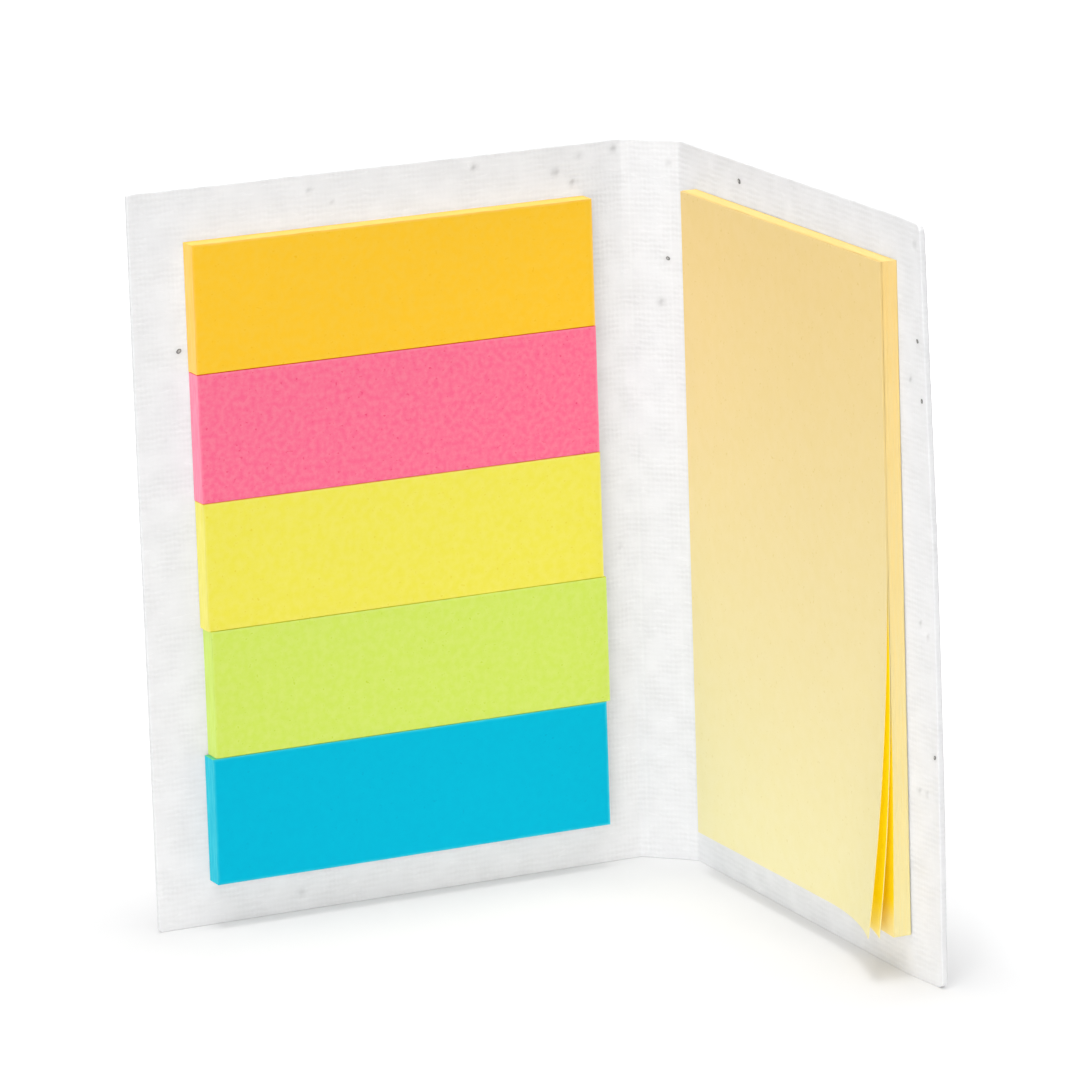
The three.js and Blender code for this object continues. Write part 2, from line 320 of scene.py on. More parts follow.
def dyed_paper(name, face, cloud, fleck, edge, cloud_mm, cloud_share, gap=None, see_through=None,
               painted_warm_bounce=None):
    """Dyed recycled paper, cut in a stack: a matt face with clouds and flecks of pulp, and cut edges that
    look paler, with fine lines along the leaves. gap is a painted light and shade: in the notes' gaps, a deep
    tone for light that has passed through a leaf, and in a marker's seam, shade lit by the marker above.
    see_through is how a lifted leaf colours light that shines through, and the colour for the top is a
    painted warm bounce light, multiplied in more and more towards the top of the cover."""
    material, tree = new_material(name)
    place = add(tree, "ShaderNodeAttribute", attribute_name=FLAT_MM).outputs["Vector"]
    clouds = add(tree, "ShaderNodeTexNoise", {"Vector": place, "Scale": 1 / cloud_mm, "Detail": 3.0})
    cloudy = add(tree, "ShaderNodeMapRange",
                 {"Value": clouds.outputs["Fac"], "From Min": 0.35, "From Max": 0.65,
                  "To Max": cloud_share})
    dyed = add(tree, "ShaderNodeMix",
               {"Factor_Float": cloudy.outputs["Result"], "A_Color": color(face), "B_Color": color(cloud)},
               data_type="RGBA").outputs[MIX]
    specks = add(tree, "ShaderNodeTexNoise", {"Vector": place, "Scale": 1 / FLECK_MM, "Detail": 2.0})
    speckled = add(tree, "ShaderNodeMapRange",
                   {"Value": specks.outputs["Fac"], "From Min": 0.66, "From Max": 0.76})
    dyed = add(tree, "ShaderNodeMix",
               {"Factor_Float": speckled.outputs["Result"], "A_Color": dyed, "B_Color": color(fleck)},
               data_type="RGBA").outputs[MIX]

    line_scale = (1 / EDGE_LINE_LENGTH_MM, 1 / EDGE_LINE_LENGTH_MM, 1 / EDGE_LINE_MM)
    leaf_place = add(tree, "ShaderNodeMapping", {"Vector": place, "Scale": line_scale})
    leaf_lines = add(tree, "ShaderNodeTexNoise",
                     {"Vector": leaf_place.outputs["Vector"], "Scale": 1.0, "Detail": 2.0}).outputs["Fac"]
    lined = add(tree, "ShaderNodeMapRange",
                {"Value": leaf_lines, "From Min": 0.35, "From Max": 0.65, "To Max": 0.55}).outputs["Result"]
    pale = add(tree, "ShaderNodeMix", {"Factor_Float": lined, "A_Color": color(edge), "B_Color": dyed},
               data_type="RGBA").outputs[MIX]
    cut = add(tree, "ShaderNodeAttribute", attribute_name=CUT_EDGE).outputs["Fac"]
    shown = add(tree, "ShaderNodeMix", {"Factor_Float": cut, "A_Color": dyed, "B_Color": pale},
                data_type="RGBA").outputs[MIX]
    # Painted light: a warm bounce light, multiplied in more and more towards the top
    if painted_warm_bounce:
        height = add(tree, "ShaderNodeSeparateXYZ", {"Vector": place}).outputs["Y"]
        warm_bounce_share = add(tree, "ShaderNodeMapRange",
                     {"Value": height, "From Min": WARM_BOUNCE_START_MM, "From Max": WARM_BOUNCE_END_MM})
        shown = add(tree, "ShaderNodeMix",
                    {"Factor_Float": warm_bounce_share.outputs["Result"], "A_Color": shown, "B_Color": color(painted_warm_bounce)},
                    data_type="RGBA", blend_type="MULTIPLY").outputs[MIX]
    # Painted light and shade: in the notes' gaps, a deep tone for light that has passed through a leaf; in a
    # marker's seam, shade lit by the marker above
    if gap:
        inside = add(tree, "ShaderNodeAttribute", attribute_name=GAP_PAINTED_LIGHT).outputs["Fac"]
        shown = add(tree, "ShaderNodeMix", {"Factor_Float": inside, "A_Color": shown, "B_Color": color(gap)},
                    data_type="RGBA").outputs[MIX]
    thrown = add(tree, "ShaderNodeLightPath").outputs["Is Diffuse Ray"]
    lost = add(tree, "ShaderNodeMath", {"Value": thrown, "Value_001": DYE_SPILL_LOST}, operation="MULTIPLY")
    grey = add(tree, "ShaderNodeSeparateColor", {"Color": shown}, mode="HSV").outputs["Blue"]
    shown = add(tree, "ShaderNodeMix",
                {"Factor_Float": lost.outputs["Value"], "A_Color": shown, "B_Color": grey},
                data_type="RGBA").outputs[MIX]

    grain = add(tree, "ShaderNodeTexNoise", {"Vector": place, "Scale": 1 / GRAIN_MM, "Detail": 3.0})
    bump = add(tree, "ShaderNodeBump",
               {"Height": grain.outputs["Fac"], "Strength": 1.0, "Distance": GRAIN_HEIGHT_MM * MM})
    shader = add(tree, "ShaderNodeBsdfPrincipled",
                 {"Base Color": shown, "Roughness": 0.9, "Specular IOR Level": 0.08,
                  "Normal": bump.outputs["Normal"]}).outputs["BSDF"]
    if see_through:
        lifted = add(tree, "ShaderNodeAttribute", attribute_name=LIFTED).outputs["Fac"]
        passing = add(tree, "ShaderNodeMath", {"Value": lifted, "Value_001": LEAF_PASSES},
                      operation="MULTIPLY").outputs["Value"]
        from_within = add(tree, "ShaderNodeNewGeometry").outputs["Backfacing"]
        through = add(tree, "ShaderNodeMath", {"Value": passing, "Value_001": from_within},
                      operation="MAXIMUM").outputs["Value"]
        behind = add(tree, "ShaderNodeBsdfTranslucent", {"Color": color(see_through)}).outputs["BSDF"]
        shader = add(tree, "ShaderNodeMixShader", {"Fac": through, "Shader": shader, "Shader_001": behind})
        shader = shader.outputs["Shader"]
    add(tree, "ShaderNodeOutputMaterial", {"Surface": shader})
    return material


# Seed husk: the size of the patches where pulp sticks to it, and their height
HUSK_PATCH_MM = 0.3
HUSK_RELIEF_MM = 0.02


def seed_husk():
    """Dry flower seed pressed into the pulp: a matt grey husk with a dark rim, paler where pulp sticks to
    its middle."""
    material, tree = new_material("seed_husk")
    place = add(tree, "ShaderNodeTexCoord").outputs["Object"]
    skin = add(tree, "ShaderNodeTexNoise",
               {"Vector": place, "Scale": 1 / (HUSK_PATCH_MM * MM), "Detail": 2.0})
    patchy = add(tree, "ShaderNodeMapRange",
                 {"Value": skin.outputs["Fac"], "From Min": 0.4, "From Max": 0.6}).outputs["Result"]
    middle = add(tree, "ShaderNodeMix",
                 {"Factor_Float": patchy, "A_Color": color("#a9a7a4"), "B_Color": color("#cfcecc")},
                 data_type="RGBA").outputs[MIX]
    rim = add(tree, "ShaderNodeAttribute", attribute_name=HUSK_RIM).outputs["Fac"]
    husk = add(tree, "ShaderNodeMix", {"Factor_Float": rim, "A_Color": middle, "B_Color": color("#6f6d6b")},
               data_type="RGBA").outputs[MIX]
    bump = add(tree, "ShaderNodeBump", {"Height": patchy, "Strength": 1.0, "Distance": HUSK_RELIEF_MM * MM})
    shader = add(tree, "ShaderNodeBsdfPrincipled",
                 {"Base Color": husk, "Roughness": 0.85, "Specular IOR Level": 0.2,
                  "Normal": bump.outputs["Normal"]})
    add(tree, "ShaderNodeOutputMaterial", {"Surface": shader.outputs["BSDF"]})
    return material


# The cover: one folded sheet, made as a front and a back half that meet in the middle of the spine. A point
# on it has q, the distance along the inner face from the middle of the spine, z, its height, and a depth from
# the inner face outwards.

FOLD_RADIUS = 0.8
FOLD_START = HINGE_X - FOLD_RADIUS * math.tan(BEND / 2)
FOLD_END = FOLD_START + FOLD_RADIUS * BEND
SHEET_END = FOLD_END + PANEL - FOLD_RADIUS * math.tan(BEND / 2)


def on_sheet(q, z, depth, side):
    """Points of the folded sheet."""
    turn = np.clip((q - FOLD_START) / FOLD_RADIUS, 0, BEND)
    beyond = np.maximum(q - FOLD_END, 0)
    x = np.minimum(q, FOLD_START) + (FOLD_RADIUS + depth) * np.sin(turn) + beyond * np.cos(BEND)
    y = HINGE_Y - FOLD_RADIUS + (FOLD_RADIUS + depth) * np.cos(turn) - beyond * np.sin(BEND)
    return np.stack([side * x, y, z + 0 * q], -1)


def round_corners(q, z, radius):
    """Moves points near the two outer corners so that the outline turns them on an arc."""
    for foot, up in ((0, 1), (HEIGHT, -1)):
        out = q - (SHEET_END - radius)
        down = radius - up * (z - foot)
        share = np.maximum(out, down) / np.maximum(np.hypot(out, down), 1e-9)
        inside = (out > 0) & (down > 0)
        q = np.where(inside, SHEET_END - radius + out * share, q)
        z = np.where(inside, foot + up * (radius - down * share), z)
    return q, z


# Seeds on each half, as q, z, length and how clearly they show: above BARE_SEED they break through the pulp
BARE_SEED = 0.75
SEED_LIFT = 0.04  # how far a seed lifts the pulp over it
BARE_SHADE = (0.8, 0.25)  # how far a bare seed shades the pulp, as a share of its length, and how much
SUNK_SHADE = (0.6, 0.75)  # the same for a seed under the surface, times how clearly it shows
SEEDS = {
    "front": [(59.8, 67.8, 0.62, 1.0), (62.0, 57.6, 0.3, 0.4), (42.9, 84.6, 0.45, 0.6),
              (40.3, 83.0, 0.3, 0.6), (22.3, 85.0, 0.55, 0.7), (12.0, 83.4, 0.7, 0.7), (9.9, 82.0, 0.6, 0.7),
              (8.9, 85.0, 0.7, 0.3), (4.5, 85.4, 0.65, 0.6), (47.4, 2.2, 0.8, 0.3), (5.2, 38.1, 0.4, 0.4)],
    "back": [(1.9, 72.5, 0.5, 0.9), (0.9, 67.3, 0.7, 0.6), (2.3, 83.8, 0.6, 0.3), (19.6, 84.1, 0.65, 1.0),
             (64.0, 84.0, 0.5, 0.7), (63.8, 73.2, 0.5, 0.8), (61.9, 68.7, 0.45, 0.7), (64.3, 66.6, 0.5, 0.8),
             (62.3, 41.2, 0.45, 0.6), (63.8, 39.9, 0.4, 0.6), (64.6, 26.4, 0.5, 0.8), (61.2, 21.9, 0.45, 0.7),
             (62.7, 21.8, 0.4, 0.6)],
}


def seed_marks(q, z, side_name):
    """How much each point is shaded by the seeds under it, and how far they lift the pulp."""
    shade, lift = np.zeros_like(q), np.zeros_like(q)
    for seed_q, seed_z, length, clear in SEEDS[side_name]:
        apart = np.hypot(q - seed_q, z - seed_z) / length
        reach, darkness = BARE_SHADE if clear > BARE_SEED else (SUNK_SHADE[0], SUNK_SHADE[1] * clear)
        shade = np.maximum(shade, darkness * np.exp(-((apart / reach) ** 2)))
        lift = lift + SEED_LIFT * np.exp(-(apart**2))
    return shade, lift


# The sheet's relief in millimetres: clouds of pulp and slow waves, where the random draws of its two faces
# start, and the score mark beside the fold
CLOUD_HEIGHT = 0.011
CLOUD_SIZE = (2.4, 1.4)
WAVE_HEIGHT = 0.022
WAVE_SIZE = (8.0, 8.0)
INNER_DRAW = 11
OUTER_DRAW = 23
SCORE_HEIGHT = 0.045
BEAD_WIDTH = 0.3
GROOVE_WIDTH = 0.2
BEAD_TO_GROOVE = 0.75


def cockle(x, z, draw):
    """The uneven thickness of handmade paper: clouds of pulp over slow waves."""
    clouds = CLOUD_HEIGHT * layered_noise(x, z, *CLOUD_SIZE, draw)
    return clouds + WAVE_HEIGHT * value_noise(x, z, *WAVE_SIZE, draw + 5)


def score_mark(q):
    """The bead and the shallow groove that the scoring tool left beside the fold, on the inner face."""
    bead = np.exp(-(((q - FOLD_START) / BEAD_WIDTH) ** 2))
    groove = np.exp(-(((q - FOLD_START + BEAD_TO_GROOVE) / GROOVE_WIDTH) ** 2))
    return SCORE_HEIGHT * bead - SCORE_HEIGHT * groove


# The covers' outer margins, beyond the pads: where they start, and how far they bend back
MARGIN_START = 53
MARGIN_WIDTH = 9
MARGIN_WAVE = 0.08
MARGIN_WAVE_SIZE = (30.0, 24.0)
MARGIN_DRAW = 30
BACK_BOW = 0.36
BACK_FOOT_FLARE = 0.7
BACK_TOP_PULL = 0.3


def margin_warp(q, z, side):
    """How far a cover's outer margin bends back from flat: the back cover's bows out and flares below."""
    outwards = ease((q - FOLD_END - MARGIN_START) / MARGIN_WIDTH)
    up = np.clip(z / HEIGHT, 0, 1)
    bow = BACK_BOW * np.sin(math.pi * up) + BACK_FOOT_FLARE * (1 - up)**2 - BACK_TOP_PULL * up**4
    wave = MARGIN_WAVE * value_noise(side * q, z, *MARGIN_WAVE_SIZE, MARGIN_DRAW)
    return outwards * ((bow if side > 0 else 0) + wave)


# The cut edge: how it is rounded and torn, how near it the relief dies out, and the two levels between faces
EDGE_ROUND = 0.13
EDGE_TORN = 0.018
EDGE_TORN_OUT = 0.02
EDGE_TORN_SIZE = (0.9, 0.9)
EDGE_TORN_REACH = 0.4
EDGE_DRAW = 40
RELIEF_FADE = 0.5
OUTER_FACE_SUNK = 0.045
RIM_LEVELS = (0.31, 0.4)
OUTSIDE_SHADE = 0.4  # how much of a seed's shade shows on the outside

# The cover's grid lines: start, end and step over the spine, the fold and the cover, their step up its
# height, and the lines near an edge
SPINE_LINES = (0, FOLD_START - 1.1, 0.4)
FOLD_LINES = (FOLD_START - 1, FOLD_END + 0.5, 0.09)
COVER_LINES = (FOLD_END + 0.7, SHEET_END - 0.6, 0.48)
HEIGHT_STEP = 0.42
EDGE_LINES = [0, 0.03, 0.08, 0.15, 0.24, 0.34]


def make_cover_half(side_name, side, material):
    """One half of the cover, with its waves, score mark, lumps over seeds and soft cut edges."""
    across = [evenly(*SPINE_LINES), evenly(*FOLD_LINES), evenly(*COVER_LINES)]
    across.append(SHEET_END - np.array(EDGE_LINES[::-1]))
    q, z = np.meshgrid(np.concatenate(across), lines_across(HEIGHT, HEIGHT_STEP, EDGE_LINES))
    to_edge = np.minimum(SHEET_END - q, np.minimum(z, HEIGHT - z))
    rounding = EDGE_ROUND - np.sqrt(EDGE_ROUND**2 - np.maximum(EDGE_ROUND - to_edge, 0) ** 2)
    near_edge = np.exp(-to_edge / EDGE_TORN_REACH)
    side_edge = SHEET_END - q < np.minimum(z, HEIGHT - z)
    cut_q, cut_z = round_corners(q, z, CORNERS[side_name])
    shade, lift = seed_marks(q, z, side_name)
    fade = ease(to_edge / RELIEF_FADE)
    inner_height = (cockle(side * q, z, INNER_DRAW) + lift) * fade + score_mark(q)
    outer_height = (cockle(side * q, z, OUTER_DRAW) - OUTER_FACE_SUNK) * fade
    none = np.zeros_like(q)
    levels = [(rounding - inner_height, shade)]
    levels += [(none + depth, none) for depth in RIM_LEVELS]
    levels += [(SHEET - rounding + outer_height, OUTSIDE_SHADE * shade)]
    grids, flats, shades = [], [], []
    for number, (depth, dark) in enumerate(levels):
        rough = EDGE_TORN * layered_noise(side * q, z, *EDGE_TORN_SIZE, EDGE_DRAW + number) * near_edge
        torn_q = cut_q + np.where(side_edge, np.minimum(rough, EDGE_TORN_OUT), 0)
        torn_z = np.clip(cut_z + np.where(side_edge, 0, rough * (z > HEIGHT / 2)), 0, HEIGHT)
        grids.append(on_sheet(torn_q, torn_z, depth + margin_warp(q, z, side), side))
        flats.append(np.stack([side * q, z, depth], -1))
        shades.append(dark)
    points, quads = closed_shell(grids)
    values = {FLAT_MM: on_skin(flats), SEED_SHADE: on_skin(shades)}
    return build_mesh(f"cover_{side_name}_half", points, quads[:, ::-side], values, material)


# A bare seed: its two half widths on the sheet as shares of its length, its half thickness, how far its
# middle lies over the inner face, and where its dark rim starts and over what width it grows
SEED_SHAPE = (0.55, 0.42)
SEED_THICK = 0.12
SEED_OUT = 0.02
SEED_RIM = (0.35, 0.4)
SEED_DRAW = 5
ALONG = 0.1  # a short way along the sheet, which gives its direction at a seed


def make_seeds(name, places, side, material):
    """Seeds that break through the pulp: small lens shapes, half sunk in the inner face."""
    ball = bmesh.new()
    bmesh.ops.create_icosphere(ball, subdivisions=3, radius=1)
    ball.verts.index_update()
    round_points = np.array([point.co for point in ball.verts])
    triangles = np.array([[point.index for point in face.verts] for face in ball.faces])
    ball.free()
    rim = ease((np.hypot(round_points[:, 0], round_points[:, 1]) - SEED_RIM[0]) / SEED_RIM[1])
    points, faces = [], []
    rng = np.random.default_rng(SEED_DRAW)
    for count, (place_q, place_z, length, _) in enumerate(places):
        q, z = np.array([place_q, place_q + ALONG]), np.array([place_z, place_z])
        middle, beside = on_sheet(q, z, margin_warp(q, z, side) - SEED_OUT, side)
        along = Vector(beside - middle).normalized()
        turned = Matrix.Rotation(rng.uniform(0, math.pi), 3, "Z")
        axes = Matrix((along, UP, along.cross(UP))).transposed() @ turned
        size = np.array([SEED_SHAPE[0] * length, SEED_SHAPE[1] * length, SEED_THICK])
        points.append((round_points * size) @ np.array(axes).T + middle)
        faces.append(triangles + count * len(round_points))
    values = {HUSK_RIM: np.tile(rim, len(places))}
    return build_mesh(name, np.concatenate(points), np.concatenate(faces), values, material)


# The pads. A point on one has u, outwards from the crease, v, its height, and a rise from the cover's inner
# face towards the reader. A pad's own functions count u and v from its lower corner beside the crease.

PAD_EDGE_LINES = [0, 0.04, 0.12, 0.3]
PAD_STEP = 0.9

# The cut edges: how far in from them the pale cut shows on a face, how it fades there and how strong it is,
# how far a leaf's edge spreads past the pad's size, how far a leaf may stand in, and the shape of its edge
PALE_RIM = 0.13
PALE_FADE = 0.12
PALE_ON_FACE = 0.9
FRAYED = 0.055
FRAYED_WAVE = 0.01
FRAYED_WAVE_SIZE = (5.0, 5.0)
JOG = 0.02
LEAF_EDGE = ((0.15, 0.03), (0.45, 0), (0.8, 0))  # levels on a leaf, as shares of it, and how far in they lie

# A pad's two faces: how far the underside reaches into the glue, how far in either lies, and the top's relief
GLUED_DEPTH = 0.07
GLUED_INSET = 0.05
TOP_INSET = 0.02
TOP_SUNK = 0.03
TOP_TURN = 0.03
TOP_TURN_REACH = 0.1
TOP_WAVE = 0.02
TOP_WAVE_SIZE = (12.0, 9.0)


def on_panel(u, v, rise, side):
    """Points over a cover's inner face."""
    x = side * (HINGE_X + u * math.cos(BEND) - rise * math.sin(BEND))
    y = HINGE_Y - u * math.sin(BEND) - rise * math.cos(BEND)
    return np.stack([x, y, v + 0 * u], -1)


def pad_place(node, side, width):
    """Where a pad starts on its cover, out from the crease and up, and its height, from its box."""
    low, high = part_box(node)
    reach = max(-low.x, high.x) / MM
    outer = (reach - HINGE_X + GLUE * math.sin(BEND)) / math.cos(BEND)
    return outer - width, low.z / MM, (high.z - low.z) / MM


def inwards(places, size):
    """1 on a pad's near edge and -1 on its far edge, which is the way in from either, and 0 between."""
    return np.where(places <= 0, 1, np.where(places >= size, -1, 0))


def make_stack(name, place, width, leaves, side, material, draw, fan, pale_sides, painted_gap_light_at):
    """A pad of cut leaves: each leaf's edge stands a little in or out, and the top leaf's edges turn down.
    fan gives how far the leaves stand apart, pale_sides which of its sides show the pale cut, and the last
    function where it takes painted light and shade in a narrow gap, at a depth under its top."""
    start_u, start_v, height = place
    u, v = np.meshgrid(lines_across(width, PAD_STEP, PAD_EDGE_LINES),
                       lines_across(height, PAD_STEP, PAD_EDGE_LINES))
    to_edge = np.minimum(np.minimum(u, width - u), np.minimum(v, height - v))
    in_u, in_v = inwards(u, width), inwards(v, height)
    pale = pale_sides(u, v, width, height)
    pale_on_face = pale * PALE_ON_FACE * np.exp(-to_edge / PALE_FADE)
    turned_down = TOP_SUNK + TOP_TURN * np.exp(-to_edge / TOP_TURN_REACH)
    crown = TOP_WAVE * layered_noise(u, v, *TOP_WAVE_SIZE, draw) - turned_down
    rng = np.random.default_rng(draw)
    levels = [(GLUE - GLUED_DEPTH, GLUED_INSET, 0)]
    for leaf in range(leaves):
        jog = JOG * rng.uniform(0, 1)
        for part, inset in LEAF_EDGE:
            levels.append((GLUE + (leaf + part) * LEAF, inset, jog))
    top = len(levels)
    levels.append((GLUE + leaves * LEAF, TOP_INSET, 0))
    grids, flats, cuts, painted_gap_lights = [], [], [], []
    for number, (level, inset, jog) in enumerate(levels):
        wave = FRAYED_WAVE * value_noise(u + v, u - v, *FRAYED_WAVE_SIZE, draw + number)
        shift = inset + jog - FRAYED + wave
        rise = level + (crown if number == top else 0) + fan(u, v, level)
        grids.append(on_panel(start_u + u + shift * in_u, start_v + v + shift * in_v, rise, side))
        flats.append(np.stack([side * (start_u + u), start_v + v, level + 0 * u], -1))
        cuts.append(pale_on_face if number in (0, top) else pale)
        painted_gap_lights.append(painted_gap_light_at(u, v, height, levels[top][0] - level))
    points, quads = closed_shell(grids)
    values = {FLAT_MM: on_skin(flats), CUT_EDGE: on_skin(cuts), GAP_PAINTED_LIGHT: on_skin(painted_gap_lights)}
    return build_mesh(name, points, quads[:, ::side], values, material)


# The curled leaves. A curl is where it starts, along the foot and up the side from the lower outer corner,
# and how far it lifts that corner.

LEAF_STEP = (0.6, 0.7)  # the grid's steps across and up
LEAF_SECTION = ((0, 0.012), (0.25, 0), (0.75, 0), (0.96, 0.012))  # levels on a leaf, and how far in they lie
LEAF_WAVE = 0.03
LEAF_WAVE_SIZE = (9.0, 50.0)
LEAF_WAVE_START = 10  # how far from the near side and from the outer side its waves are at full height
LEAF_WAVE_END = 8
# The painted light in the gaps under the curled leaves, and how it fades
OPEN_GAP = 0.25  # how wide a gap is where its deep tone is full
FOOT_TONE = 0.15  # the share of that tone at the open foot
FOOT_FADE = (0.8, 3.5)  # how far up the deep tone starts to grow, and over what height


def curl_beyond(u, v, curl):
    """How far past the line where a leaf starts to curl a point lies, the curl's radius and direction."""
    along_foot, along_side, lift = curl
    slant = math.hypot(along_foot, along_side)
    reach = along_foot * along_side / slant
    radius = (reach**2 + lift**2) / (2 * lift)
    across_u, across_v = along_side / slant, -along_foot / slant
    beyond = np.maximum((u - NOTE_WIDTH + along_foot) * across_u + v * across_v, 0)
    return beyond, radius, across_u, across_v


def off_the_pad(u, v, curl):
    """0 where a curled leaf lies flat, growing to 1 where it has lifted."""
    beyond, radius = curl_beyond(u, v, curl)[:2]
    return ease(beyond**2 / (2 * radius) / OPEN_GAP)


def painted_light_under_curl(u, v, curl):
    """Where light is painted under a curled leaf: 1 under it, fading where it comes down on the pad and
    towards the open foot.
    """
    above_foot = ease((v - FOOT_FADE[0]) / FOOT_FADE[1])
    return off_the_pad(u, v, curl) * (FOOT_TONE + (1 - FOOT_TONE) * above_foot)


def make_curled_leaf(name, place, level, curl, side, material, draw, curl_above=None):
    """A leaf that lies flat on the pad and curls up towards its lower outer corner, keeping its length.
    curl_above is the curl of the next leaf over it."""
    start_u, start_v, height = place
    u, v = np.meshgrid(lines_across(NOTE_WIDTH, LEAF_STEP[0], PAD_EDGE_LINES),
                       lines_across(height, LEAF_STEP[1], PAD_EDGE_LINES))
    in_u, in_v = inwards(u, NOTE_WIDTH), inwards(v, height)
    beyond, radius, across_u, across_v = curl_beyond(u, v, curl)
    angle = beyond / radius
    pulled = radius * np.sin(angle) - beyond
    free = ease(u / LEAF_WAVE_START) * ease((NOTE_WIDTH - u) / LEAF_WAVE_END)
    wave = LEAF_WAVE * layered_noise(u, v, *LEAF_WAVE_SIZE, draw) * free
    none = np.zeros_like(u)
    last = len(LEAF_SECTION) - 1
    painted_gap_lights = [none] * len(LEAF_SECTION)
    painted_gap_lights[0] = painted_light_under_curl(u, v, curl)
    painted_gap_lights[last] = painted_light_under_curl(u, v, curl_above) if curl_above else none
    lifts = [off_the_pad(u, v, curl)] + [none] * last
    grids, flats, cuts = [], [], []
    for part, tuck in LEAF_SECTION:
        thick = part * LEAF
        push = pulled - np.sin(angle) * thick
        pu = start_u + u + push * across_u + tuck * in_u
        pv = start_v + v + push * across_v + tuck * in_v
        rise = level + wave + radius * (1 - np.cos(angle)) + np.cos(angle) * thick
        grids.append(on_panel(pu, pv, rise, side))
        flats.append(np.stack([side * (start_u + u), start_v + v, level + thick + 0 * u], -1))
        cuts.append(none if tuck else none + 1)
    points, quads = closed_shell(grids)
    values = {FLAT_MM: on_skin(flats), CUT_EDGE: on_skin(cuts), GAP_PAINTED_LIGHT: on_skin(painted_gap_lights), LIFTED: on_skin(lifts)}
    return build_mesh(name, points, quads[:, ::side], values, material)


# Build the cover and its seeds

paper = seed_paper()
front_half = make_cover_half("front", -1, paper)
back_half = make_cover_half("back", 1, paper)
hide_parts("front_cover", "spine")
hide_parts("back_cover")

husk = seed_husk()
for side_name, side in (("front", -1), ("back", 1)):
    bare = [seed for seed in SEEDS[side_name] if seed[3] > BARE_SEED]
    on_spine = [seed for seed in bare if seed[0] < HINGE_X]
    on_cover = [seed for seed in bare if seed[0] >= HINGE_X]
    for name, places, body in (("spine", on_spine, "spine"), (side_name, on_cover, side_name)):
        if places:
            seeds = make_seeds(f"seeds_{side_name}_half_{name}", places, side, husk)
            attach(seeds, body)

# The cover's halves are folded over the creases as built; bake their places into their points
for half, side, body in ((front_half, -1, "front"), (back_half, 1, "back")):
    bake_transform(half)

# Where the random draws of each pad start
MARKER_DRAW = 100
NOTE_BLOCK_DRAW = 900
NOTE_LEAF_DRAW = 500

# Build the page markers, from the top one down: tone, colours of face, clouds, flecks, cut edge and the seam
# under the marker above, which is a painted shade lit by that marker's colour, and the size and share of
# clouds
MARKERS = [
    ("orange", "#fac52d", "#fac93f", "#f5bc1c", "#ffd27c", None, 0.9, 0.7),
    ("pink", "#f86a90", "#f8829b", "#f2507c", "#ff9fb6", "#ff4a10", 0.65, 0.8),
    ("yellow", "#ebe251", "#eee566", "#e6d842", "#f2ea88", "#ffa02d", 0.9, 0.7),
    ("lime", "#cce25d", "#d2e573", "#c2da46", "#d4ec82", "#dfe63c", 0.9, 0.7),
    ("blue", "#00b4d5", "#00bad8", "#00aace", "#48cfe1", "#6fdc96", 0.9, 0.5),
]


def marker_sides(order):
    """The pale cut shows on a marker's left, right and top, and on the foot of the lowest one."""
    def pale_sides(u, v, width, height):
        foot = (v <= PALE_RIM) & (order == len(MARKERS) - 1)
        side_or_top = (u <= PALE_RIM) | (u >= width - PALE_RIM) | (v >= height - PALE_RIM)
        return np.where(side_or_top | foot, 1.0, 0.0)
    return pale_sides


def flat_leaves(u, v, level):
    """Leaves that lie close on each other."""
    return 0 * u


def seam_painted_shade(u, v, height, depth):
    """The top side of a marker faces the seam to the next one; there it takes a painted shade, coloured by
    light bounced off the marker above.
    """
    return np.where(v >= height, 1.0, 0.0)


for order, (tone, face, cloud, fleck, edge, seam, cloud_mm, cloud_share) in enumerate(MARKERS):
    node = f"page_markers_{tone}"
    dyed = dyed_paper(f"marker_paper_{tone}", face, cloud, fleck, edge, cloud_mm, cloud_share, gap=seam)
    stack = make_stack(f"{node}_stack", pad_place(node, -1, MARKER_WIDTH), MARKER_WIDTH, MARKER_LEAVES, -1,
                       dyed, MARKER_DRAW * (order + 1), flat_leaves, marker_sides(order), seam_painted_shade)
    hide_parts(node)
    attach(stack, "front")

# Build the sticky notes: a block, and two leaves that curl up at the lower outer corner. The block's upper
# leaves, those above FAN_LEVEL, stand apart beyond a slanting line that starts on the foot.
NOTE_PLACE = pad_place("note_pad", 1, NOTE_WIDTH)
NOTE_COLORS = ("#f0e6b0", "#f2e9bb", "#e9dda0", "#f5e5a2", 1.6, 0.5)
# Painted light in the gaps under the curled leaves: a deep yellow for light that has come through them
NOTE_GAP_PAINTED_LIGHT = "#f2dc1c"
# Painted warm bounce light on the notes, stronger towards the top
NOTE_PAINTED_WARM_BOUNCE = "#ffebd4"
NOTE_CURLS = {"note_leaf_under": (12.2, 33.0, 2.0), "note_leaf_top": (17.0, 46.0, 3.3)}
FAN_START = 41
FAN_ACROSS = (0.94, 0.35)
FAN_WIDTH = 9.4
FAN_LEVEL = 0.9
FAN_LIFT = 0.35


def corner_fan(u, v, level):
    """The block's upper leaves stand a little apart at the same corner."""
    beyond = np.maximum((u - FAN_START) * FAN_ACROSS[0] - v * FAN_ACROSS[1], 0)
    return FAN_LIFT * np.clip(level - FAN_LEVEL, 0, 1) ** 2 * (beyond / FAN_WIDTH) ** 2


def all_sides(u, v, width, height):
    """The pale cut shows all round."""
    return np.ones_like(u)


def painted_light_on_block(u, v, height, depth):
    """Painted light on the block's top, where the under one of the curled leaves lifts off it."""
    return painted_light_under_curl(u, v, NOTE_CURLS["note_leaf_under"]) * (depth == 0)


